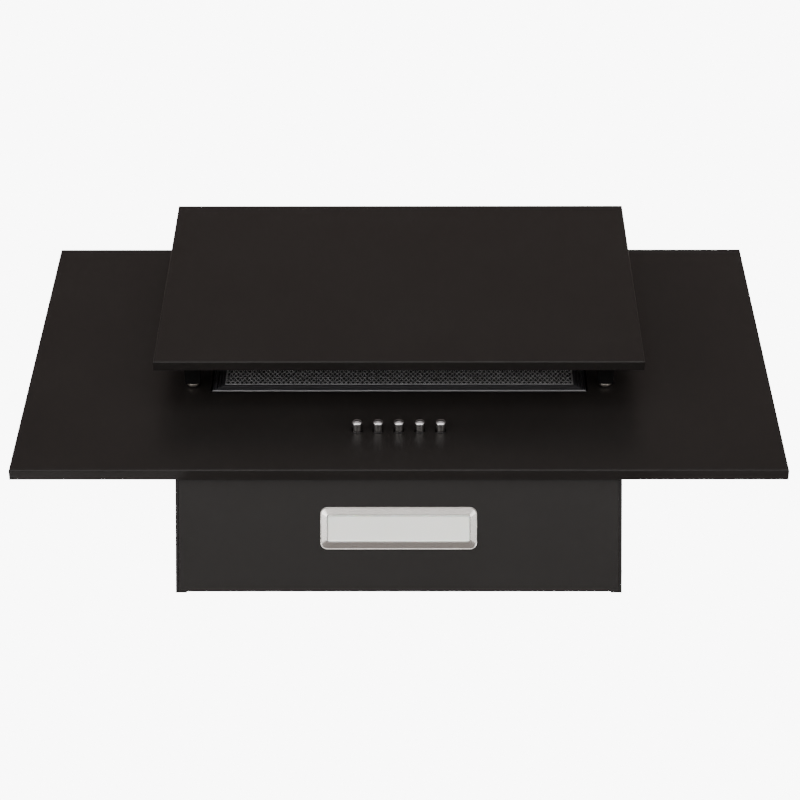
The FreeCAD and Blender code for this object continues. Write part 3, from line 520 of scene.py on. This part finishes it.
def make_main_panel():
    """Sloping panel with the filter's window, the button holes and a return fold down each side."""
    half = WINDOW_WIDTH / 2
    bores = [((button_x(i), BUTTON_STATION), RING_SLEEVE) for i in range(len(BUTTONS))]
    bm = tray(PANEL_WIDTH, 0, PANEL_LENGTH, 0, PANEL_RIM,
              holes=[((-half, WINDOW_START), (half, WINDOW_END))], bores=bores)
    for side in (-1, 1):
        edge = [e for e in bm.edges if e.is_boundary and all(
            abs(v.co.x - side * PANEL_WIDTH / 2) < 1e-3 and v.co.z < 0.1 - PANEL_RIM for v in e.verts)]
        fold = moved_verts(bmesh.ops.extrude_edge_only(bm, edges=edge))
        bmesh.ops.translate(bm, vec=(-side * PANEL_RETURN, 0, 0), verts=fold)
        for vert in fold:
            vert.co.y += FOLD_RADIUS if vert.co.y < PANEL_LENGTH / 2 else -FOLD_RADIUS
    bmesh.ops.solidify(bm, geom=bm.faces[:], thickness=SHEET)
    piece("front_panel", bm, PANEL, "black_powder_coat", "hood_body", "main_panel", crease=50)


def make_flap():
    """Flap in front of the filter: a plain folded tray."""
    bm = tray(FLAP_WIDTH, FLAP_START, FLAP_END, FLAP_HEIGHT, FLAP_RIM)
    bmesh.ops.solidify(bm, geom=bm.faces[:], thickness=SHEET)
    piece("flap_tray", bm, PANEL, "black_powder_coat", "flap", "flap_panel", crease=50)


# ---- buttons ------------------------------------------------------------
def button_x(index):
    """Place of one button across the panel."""
    return (index - (len(BUTTONS) - 1) / 2) * BUTTON_PITCH


def arc(centre, radii, first, last, steps):
    """Points on an ellipse in a profile, between two angles in degrees."""
    turns = [math.radians(first + (last - first) * i / steps) for i in range(steps + 1)]
    return [(centre[0] + radii[0] * math.cos(t), centre[1] + radii[1] * math.sin(t)) for t in turns]


def make_buttons():
    """Five caps: a satin stem, its duller grey partly painted shade under the head, and a bright head with an
    upright side and a low dome.
    """
    stem = [(0, -3.0), (2.85, -3.0), (BUTTON_STEM, -2.75), (BUTTON_STEM, 6.0), (2.9, 6.2), (2.7, 6.2),
            (2.7, 6.5), (0, 6.5)]
    side = arc((BUTTON_HEAD - 0.5, 6.9), (0.5, 0.5), -70, 0, 4)
    dome = arc((BUTTON_HEAD - 1.8, 7.7), (1.8, 1.05), 0, 60, 7)
    head = [(0, 6.4), (3.45, 6.4)] + side + dome + [(2.0, 8.98), (0.8, 9.24), (0, BUTTON_TOP)]
    for i, name in enumerate(BUTTONS):
        centre = (button_x(i), BUTTON_STATION, 0)
        bm = bmesh.new()
        lathe(bm, stem, centre)
        # stem painted a duller grey, partly as painted shade under the head
        piece(f"{name}_button_stem", bm, PANEL, "nickel_steel", f"{name}_button", crease=40,
              paint="shaded_stem_nickel")
        bm = bmesh.new()
        lathe(bm, head, centre)
        piece(f"{name}_button_head", bm, PANEL, "polished_chrome", f"{name}_button", f"button_{name}",
              crease=40)


def make_rings():
    """Plated rings round the buttons, dished towards the bore."""
    bm = bmesh.new()
    profile = [(RING_BORE, -1.8), (RING_SLEEVE, -1.8), (RING_SLEEVE, 0.0), (RING_OUTER, 0.0),
               (RING_OUTER, 0.25), (4.4, 0.45), (4.2, 0.57), (4.0, 0.6), (3.75, 0.55), (3.5, 0.35),
               (RING_BORE, 0.1)]
    for i in range(len(BUTTONS)):
        part = bmesh.new()
        lathe(part, profile, (button_x(i), BUTTON_STATION, 0), closed=True)
        join(bm, part)
    piece("button_collars", bm, PANEL, "polished_chrome", "hood_body", "button_rings", crease=40,
          paint="black_chrome")


# ---- catches ------------------------------------------------------------
def make_catches():
    """Nickel discs on the panel and the moulded posts above them."""
    discs = bmesh.new()
    profile = [(0, 0), (3.2, 0), (3.2, 1.2), (4.9, 1.2), (5.3, 1.4), (5.45, 1.8), (5.45, 2.9), (5.35, 3.25),
               (5.0, 3.5), (4.4, CATCH_TOP), (2.6, CATCH_TOP), (2.2, 3.3), (1.2, 3.05), (0, 3.0)]
    for side in (-1, 1):
        part = bmesh.new()
        lathe(part, profile, (side * CATCH_ACROSS, CATCH_STATION, 0))
        join(discs, part)
    piece("catch_plates", discs, PANEL, "nickel_steel", "hood_body", "catch_discs", crease=40)

    posts = bmesh.new()
    low = CATCH_TOP + CATCH_AIR
    for side in (-1, 1):
        x = side * CATCH_ACROSS
        verts = block(posts, (x - POST_HALF[0], CATCH_STATION - POST_HALF[1], low),
                      (x + POST_HALF[0], CATCH_STATION + POST_HALF[1], FLAP_BACK))
        for vert in verts:
            if vert.co.z < low + 1:
                vert.co.x = x + (vert.co.x - x) * 0.93
                vert.co.y = CATCH_STATION + (vert.co.y - CATCH_STATION) * 0.9
        front = [f for f in faces_of(verts) if f.calc_center_median().z < low + 1]
        bmesh.ops.inset_region(posts, faces=front, thickness=2.0)
        bmesh.ops.inset_region(posts, faces=front, thickness=0.4, depth=-0.8)
    soften(posts, [e for e in posts.edges if e.calc_face_angle(0) > 0.5], 0.5)
    piece("catch_supports", posts, PANEL, "black_plastic", "flap", "catch_posts", crease=50)


# ---- filter -------------------------------------------------------------
def filter_bar(bm, length, turn, reach):
    """One bar of the filter's frame: a ribbed channel, cut at 45 degrees at both ends."""
    front = -FILTER_SINK
    back = front - FILTER_DEPTH
    band = FILTER_BAND
    profile = [(band - 0.2, back + 0.7), (band, back + 0.35), (band - 0.35, back), (0.5, back), (0, back + 0.5),
               (0, front - 1.3), (0.2, front - 1.1), (2.2, front - 1.1), (2.5, front - 0.2), (3.6, front - 0.2),
               (3.9, front - 0.9), (4.8, front - 0.9), (5.1, front - 0.15), (6.2, front - 0.15),
               (6.5, front - 0.8), (7.3, front - 0.8), (7.6, front - 0.1), (band - 0.7, front - 0.1),
               (band - 0.2, front - 0.3), (band, front - 0.7), (band - 0.15, front - 1.1)]
    verts = [bm.verts.new((-length / 2 - 1, -reach + across, height)) for across, height in profile]
    edges = [bm.edges.new(pair) for pair in zip(verts, verts[1:])]
    ends = moved_verts(bmesh.ops.extrude_edge_only(bm, edges=edges))
    bmesh.ops.translate(bm, vec=(length + 2, 0, 0), verts=ends)
    faces = faces_of(ends)
    bmesh.ops.recalc_face_normals(bm, faces=faces)
    bmesh.ops.solidify(bm, geom=faces, thickness=FILTER_LIP * 0.7)
    for side in (-1, 1):
        corner = (side * length / 2, -reach, 0)
        bmesh.ops.bisect_plane(bm, geom=bm.verts[:] + bm.edges[:] + bm.faces[:], plane_co=corner,
                               plane_no=(side, 1, 0), clear_outer=True)
    fill_holes(bm)
    mitre = [e for e in bm.edges if e.calc_face_angle(0) > 0.5
             and any(abs(abs(face.normal.x) - math.sqrt(0.5)) < 0.02 for face in e.link_faces)]
    soften(bm, mitre, 0.12, 1)
    bmesh.ops.rotate(bm, cent=(0, 0, 0), matrix=Matrix.Rotation(turn, 3, "Z"), verts=bm.verts)


def make_filter_frame():
    """Four mitred bars, and two hook tabs with rolled ends on the lower one."""
    half = WINDOW_WIDTH / 2 - FILTER_GAP
    tall = (WINDOW_END - WINDOW_START) / 2 - FILTER_GAP
    middle = (WINDOW_START + WINDOW_END) / 2
    whole = bmesh.new()
    for turn in range(4):
        part = bmesh.new()
        length, reach = (2 * half, tall) if turn % 2 == 0 else (2 * tall, half)
        filter_bar(part, length - 0.1, math.pi / 2 * turn, reach)
        join(whole, part)
    bmesh.ops.translate(whole, vec=(0, middle, 0), verts=whole.verts)
    edge = WINDOW_START + FILTER_GAP
    for side in (-1, 1):
        x = side * HOOK_ACROSS
        tab = block(whole, (x - 10, edge - HOOK_REACH, HOOK_LEVEL - 0.5),
                    (x + 10, edge + 0.5, HOOK_LEVEL + 0.5))
        soften(whole, edges_of(tab), 0.2, 2)
        turned = Matrix.Translation((x, edge - HOOK_REACH, HOOK_LEVEL)) @ Matrix.Rotation(math.pi / 2, 4, "Y")
        rod = bmesh.ops.create_cone(whole, cap_ends=True, segments=20, radius1=HOOK_BEAD, radius2=HOOK_BEAD,
                                    depth=20.0, matrix=turned)
        soften(whole, [e for e in edges_of(rod["verts"]) if e.calc_face_angle(0) > 1.0], 0.2, 2)
    piece("filter_channel_frame", whole, PANEL, "black_powder_coat", "grease_filter", "filter_frame", crease=30,
          paint="frame_anodised")


def ridge(bm, low, high, level, steps):
    """Raised strip along the inside of a rectangle's edge, from (inward, upward) steps."""
    sheet = bmesh.new()
    rectangle(sheet, low, high, level)
    inner = sheet.faces[:]
    for inward, upward in steps:
        bmesh.ops.inset_region(sheet, faces=inner, thickness=inward, depth=upward, use_even_offset=True,
                               use_boundary=True)
    bmesh.ops.delete(sheet, geom=inner, context="FACES_ONLY")
    bmesh.ops.solidify(sheet, geom=sheet.faces[:], thickness=0.2)
    join(bm, sheet)


def make_filter_trim():
    """Light metal edging on the filter, partly painted highlight for its edge lines: a bead round the mesh, and a
    rolled hem along the lower and upper edges.
    """
    half = WINDOW_WIDTH / 2 - FILTER_GAP
    low = WINDOW_START + FILTER_GAP
    high = WINDOW_END - FILTER_GAP
    base = -FILTER_SINK - 1.0
    bm = bmesh.new()
    inner = half - FILTER_BAND
    ridge(bm, (-inner, low + FILTER_BAND), (inner, high - FILTER_BAND), base,
          [(0.15, 0.45), (0.2, 0.35), (0.3, 0.05), (0.35, -0.25), (0.2, -0.4)])
    for near in (low, high - HEM):
        hem = block(bm, (-half + 0.4, near, base - 0.2), (half - 0.4, near + HEM, base + 0.95))
        soften(bm, edges_of(hem), 0.4, 3)
    # light grey edging: partly painted highlight on the bead and hems
    piece("filter_trim", bm, PANEL, "expanded_aluminium", "grease_filter", crease=50, paint="highlight_trim")


def make_filter_mesh():
    """Expanded mesh: a slanted grid of strands, its knuckles raised in turn."""
    half = WINDOW_WIDTH / 2 - FILTER_GAP - FILTER_BAND - MESH_MARGIN
    low = WINDOW_START + FILTER_GAP + FILTER_BAND + MESH_MARGIN
    high = WINDOW_END - FILTER_GAP - FILTER_BAND - MESH_MARGIN
    level = -FILTER_SINK - 1.25
    bm = bmesh.new()
    bmesh.ops.create_grid(bm, x_segments=MESH_COUNT, y_segments=MESH_COUNT, size=MESH_COUNT / 2)
    bmesh.ops.rotate(bm, cent=(0, 0, 0), matrix=Matrix.Rotation(math.pi / 4, 3, "Z"), verts=bm.verts)
    for vert in bm.verts:
        vert.co.z = MESH_RISE if round(vert.co.y * math.sqrt(2)) % 2 else -MESH_RISE
    bmesh.ops.scale(bm, vec=(MESH_ACROSS / math.sqrt(2), MESH_ALONG / math.sqrt(2), 1), verts=bm.verts)
    bmesh.ops.translate(bm, vec=(0, (low + high) / 2, level), verts=bm.verts)
    for place, normal in (((-half, 0, 0), (-1, 0, 0)), ((half, 0, 0), (1, 0, 0)), ((0, low, 0), (0, -1, 0)),
                          ((0, high, 0), (0, 1, 0))):
        bmesh.ops.bisect_plane(bm, geom=bm.verts[:] + bm.edges[:] + bm.faces[:], plane_co=place,
                               plane_no=normal, clear_outer=True)
    bmesh.ops.wireframe(bm, faces=bm.faces[:], thickness=STRAND, offset=0.0, use_replace=True,
                        use_boundary=True, use_even_offset=False)
    piece("filter_expanded_mesh", bm, PANEL, "expanded_aluminium", "grease_filter", "filter_front_mesh",
          crease=30)


# ---- lamp ---------------------------------------------------------------
def rounded_loop(bm, width, depth, corner, level):
    """Rectangle with eight-step rounded corners under the lamp's place; returns its verts and its face."""
    known = set(bm.verts)
    verts = rectangle(bm, (-width / 2, -LAMP_DEPTH - depth / 2), (width / 2, -LAMP_DEPTH + depth / 2), level)
    bmesh.ops.bevel(bm, geom=verts, offset=corner, offset_type="OFFSET", segments=8, profile=0.5,
                    affect="VERTICES", material=-1)
    fresh = [v for v in bm.verts if v not in known]
    return fresh, faces_of(fresh)


def lofted(rings, cap_ends=False):
    """Skin through rounded loops, given as (width, depth, corner, level)."""
    bm = bmesh.new()
    loops = []
    for i, ring in enumerate(rings):
        verts, faces = rounded_loop(bm, *ring)
        if not (cap_ends and i in (0, len(rings) - 1)):
            bmesh.ops.delete(bm, geom=faces, context="FACES_ONLY")
        loops.append(verts)
    pairs = list(zip(loops, loops[1:])) + ([] if cap_ends else [(loops[-1], loops[0])])
    for first, second in pairs:
        members = set(first) | set(second)
        edges = [e for e in bm.edges if e.verts[0] in members and e.verts[1] in members
                 and (e.verts[0] in first) == (e.verts[1] in first)]
        bmesh.ops.bridge_loops(bm, edges=edges)
    return bm


def rings_of(size, *steps):
    """Rings for a lofted shape, from (growth, corner, level) steps on one size."""
    return [(size[0] + growth, size[1] + growth, corner, level) for growth, corner, level in steps]


def make_lamp():
    """Satin bezel that rises from a thin edge to the lens, and the lens with a raised lip."""
    top = FLOOR_Z
    bezel = rings_of(LAMP_SIZE, (0, 5.4, top), (0, 5.4, top - 0.35), (-0.25, 5.3, top - 0.65),
                     (-0.8, 5.05, top - 0.8), (-1.3, 4.85, top - 0.7), (-1.7, 4.7, top - 0.5))
    bezel += rings_of(LENS_SIZE, (2.0, 2.4, top - 2.22), (1.5, 2.2, top - 2.38), (1.0, 2.0, top - 2.38),
                      (0.6, 1.8, top - 2.2), (0.4, 1.7, top - 1.2), (0.4, 1.7, top + 0.8),
                      (2.4, 2.8, top + 0.8), (2.4, 2.8, top))
    piece("lamp_frame", lofted(bezel), HOOD, "satin_chrome", "hood_body", "lamp_bezel", crease=40)
    low = top - 1.6
    lens = rings_of(LENS_SIZE, (0, 1.6, low + 2.4), (0, 1.6, low - 0.3), (-0.2, 1.5, low - 0.5),
                    (-0.6, 1.4, low - 0.6), (-1.1, 1.3, low - 0.55), (-2.4, 1.1, low - 0.05), (-2.8, 1.0, low),
                    (-3.7, 0.9, low))
    piece("lamp_diffuser", lofted(lens, cap_ends=True), HOOD, "frosted_acrylic", "hood_body", "lamp_lens",
          crease=30)


# ---- outlet and lead entry ----------------------------------------------
def make_collar():
    """Moulded collar: a square plate with rounded corners, and a tube with two beads and an inner ledge."""
    low, high = (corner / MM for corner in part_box("outlet_collar"))
    middle = ((low.x + high.x) / 2, (low.y + high.y) / 2, low.z)
    tall = high.z - low.z
    bm = bmesh.new()
    bore, seat, outside = COLLAR_BORE, COLLAR_SEAT, COLLAR_OUTER
    tube = [(bore, 0), (seat, 0), (seat, COLLAR_PLATE), (60.4, COLLAR_PLATE), (59.7, 2.6), (outside, 3.6)]
    for level in (14.0, 33.0):
        tube += [(outside, level - 1.6)] + arc((59.2, level), (0.9, 1.4), -60, 60, 6) + [(outside, level + 1.6)]
    tube += [(outside, tall - 0.8), (59.2, tall - 0.2), (58.5, tall), (57.9, tall - 0.2), (bore, tall - 0.8),
             (bore, 14.2), (55.1, 13.2), (55.1, 12.0), (bore, 12.0)]
    lathe(bm, tube, middle, steps=72, closed=True)
    half = (high.x - low.x) / 2
    part = bmesh.new()
    corners = rectangle(part, (-half, -half), (half, half), 0)
    bmesh.ops.bevel(part, geom=corners, offset=8, offset_type="OFFSET", segments=8, profile=0.5,
                    affect="VERTICES", material=-1)
    bmesh.ops.create_circle(part, cap_ends=False, radius=seat, segments=72)
    bmesh.ops.delete(part, geom=part.faces[:], context="FACES_ONLY")
    bmesh.ops.triangle_fill(part, use_beauty=True, use_dissolve=False, edges=part.edges, normal=(0, 0, 1))
    top = moved_verts(bmesh.ops.extrude_face_region(part, geom=part.faces[:]))
    bmesh.ops.translate(part, vec=(0, 0, COLLAR_PLATE), verts=top)
    rim = [e for e in part.edges if all(abs(v.co.z - COLLAR_PLATE) < 1e-3 for v in e.verts)
           and e.calc_face_angle(0) > 1.0 and (e.verts[0].co + e.verts[1].co).length / 2 > outside + 2.5]
    soften(part, rim, 0.6)
    bmesh.ops.translate(part, vec=middle, verts=part.verts)
    join(bm, part)
    piece("outlet_collar_moulding", bm, HOOD, "black_plastic", "hood_body", "outlet_collar", crease=40)


def make_gland():
    """Lead entry: a hexagonal body and a domed nut with grip ribs."""
    low, high = (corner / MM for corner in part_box("cable_gland"))
    middle = Vector(((low.x + high.x) / 2, (low.y + high.y) / 2, low.z))
    neck = GLAND_NECK
    bm = bmesh.new()
    profile = [(GLAND_BORE, 0), (5.6, 0), (GLAND_THREAD, 0.5)]
    for turn in range(7):
        profile += [(GLAND_THREAD, 1.0 + turn * 1.1), (5.5, 1.5 + turn * 1.1)]
    profile += [(GLAND_THREAD, neck), (8.9, neck), (GLAND_NUT, neck + 0.4), (GLAND_NUT, neck + 4.6),
                (8.7, neck + 5), (8.0, neck + 5.2), (8.0, neck + 9.5)]
    profile += arc((4.9, neck + 9.6), (3.1, 3.4), 5, 80, 7)
    profile += [(4.6, neck + 13), (3.9, neck + 12.8), (GLAND_BORE, neck + 12.2)]
    lathe(bm, profile, middle, steps=48, closed=True)
    for vert in bm.verts:
        height = vert.co.z - middle.z - neck
        offset = Vector((vert.co.x - middle.x, vert.co.y - middle.y))
        turn = math.atan2(offset.y, offset.x)
        if 0.2 < height < 4.9 and offset.length > 8.5:
            flat = GLAND_NUT / math.cos((turn + math.pi / 6) % (math.pi / 3) - math.pi / 6)
            offset *= min(flat, 10.2) / offset.length
        elif 5.1 < height < 9.6 and offset.length > 7.5:
            offset *= 1 - 0.05 * (math.cos(turn * 12) > 0)
        vert.co.x, vert.co.y = middle.x + offset.x, middle.y + offset.y
    piece("lead_gland", bm, HOOD, "black_plastic", "hood_body", "cable_gland", crease=35)


# ---- stage --------------------------------------------------------------
def area_light(name, place, target, size, power, spread=180):
    """Rectangular light that faces a target and isn't seen itself."""
    lamp = bpy.data.lights.new(name, "AREA")
    lamp.shape = "RECTANGLE"
    lamp.size, lamp.size_y = size
    lamp.energy = power
    lamp.spread = math.radians(spread)
    source = bpy.data.objects.new(name, lamp)
    source.location = place
    source.rotation_euler = (Vector(target) - Vector(place)).to_track_quat("-Z", "Y").to_euler()
    source.visible_camera = False
    bpy.context.scene.collection.objects.link(source)


def make_stage():
    """Pale floor far below, a white studio round it, and soft lights."""
    bm = bmesh.new()
    bmesh.ops.create_grid(bm, x_segments=1, y_segments=1, size=30.0)
    bmesh.ops.translate(bm, verts=bm.verts, vec=(0, 0, STUDIO_FLOOR))
    mesh = bpy.data.meshes.new("studio_floor")
    bm.to_mesh(mesh)
    bm.free()
    floor = bpy.data.objects.new("studio_floor", mesh)
    bpy.context.scene.collection.objects.link(floor)
    paint, tree, shader, place = start("pale_studio_paint", Roughness=0.8, Emission_Color=colour("FFFFFF"),
                                       Emission_Strength=0.06)
    dress(tree, shader, noise(tree, place, 400), ("E9E9E8", "EEEEED"))
    mesh.materials.append(paint)

    world = bpy.data.worlds.new("studio")
    world.use_nodes = True
    bpy.context.scene.world = world
    tree = world.node_tree
    tree.nodes.clear()
    seen = add(tree, "LightPath").outputs["Is Camera Ray"]
    ray = add(tree, "SeparateXYZ", links={0: add(tree, "TexCoord").outputs["Generated"]})
    rise = add(tree, "MapRange", {"From Min": -0.25, "From Max": 0.35}, {"Value": ray.outputs["Z"]})
    shade = blend_colours(tree, rise.outputs["Result"], "E6E4E8", "9B8D88")
    room = add(tree, "Background", {"Strength": 0.8}, {"Color": shade})
    wall = add(tree, "Background", {"Color": colour("FFFFFF"), "Strength": 9.0})
    both = add(tree, "MixShader", links={0: seen, 1: room.outputs[0], 2: wall.outputs[0]})
    output = add(tree, "OutputWorld")
    tree.links.new(both.outputs[0], output.inputs["Surface"])

    area_light("left_softbox", (-2.2, -0.7, -2.2), STUDIO_AIM, (1.8, 1.8), 62)
    area_light("right_softbox", (2.2, -0.7, -2.2), STUDIO_AIM, (1.8, 1.8), 37)
    area_light("front_softbox", (0, -2.4, -1.6), STUDIO_AIM, (2.4, 1.0), 33)
    area_light("top_softbox", (0.5, 0.3, 2.8), (0, -0.15, 0), (2.2, 2.2), 70)
    area_light("rear_softbox", (-1.2, 2.6, 1.4), (0, 0, -0.1), (2.0, 1.6), 110, spread=70)
    area_light("left_side_light", (-2.8, 0.9, 0.5), (-0.17, -0.1, -0.1), (1.8, 1.8), 55, spread=70)
    area_light("right_side_light", (2.8, 0.9, 0.5), (0.17, -0.1, -0.1), (1.8, 1.8), 40, spread=70)
    area_light("left_floor_light", (-1.6, -1.6, -2.0), (-1.3, -1.5, STUDIO_FLOOR), (1.2, 1.2), 45)
    area_light("right_floor_light", (1.6, -1.6, -2.0), (1.4, -1.5, STUDIO_FLOOR), (1.2, 1.2), 18)


def make_camera():
    """Camera straight below the hood, looking up and a little towards the wall."""
    lens = bpy.data.cameras.new("camera")
    lens.lens = 108.65
    lens.sensor_width = 36.0
    camera = bpy.data.objects.new("camera", lens)
    bpy.context.scene.collection.objects.link(camera)
    depth = Vector((-0.00533, 0.04599, 0.99893))
    across = depth.cross(Vector((0.0005, -0.99894, 0.04599))).normalized()
    upward = across.cross(depth)
    turn = Matrix((across, upward, -depth)).transposed()
    camera.matrix_world = Matrix.Translation((0.01102, -0.23475, -2.10354)) @ turn.to_4x4()
    bpy.context.scene.camera = camera


finish_cad_nodes()
make_main_panel()
make_flap()
make_buttons()
make_rings()
make_catches()
make_filter_frame()
make_filter_trim()
make_filter_mesh()
make_lamp()
make_collar()
make_gland()
make_sheets()
make_stage()
make_camera()
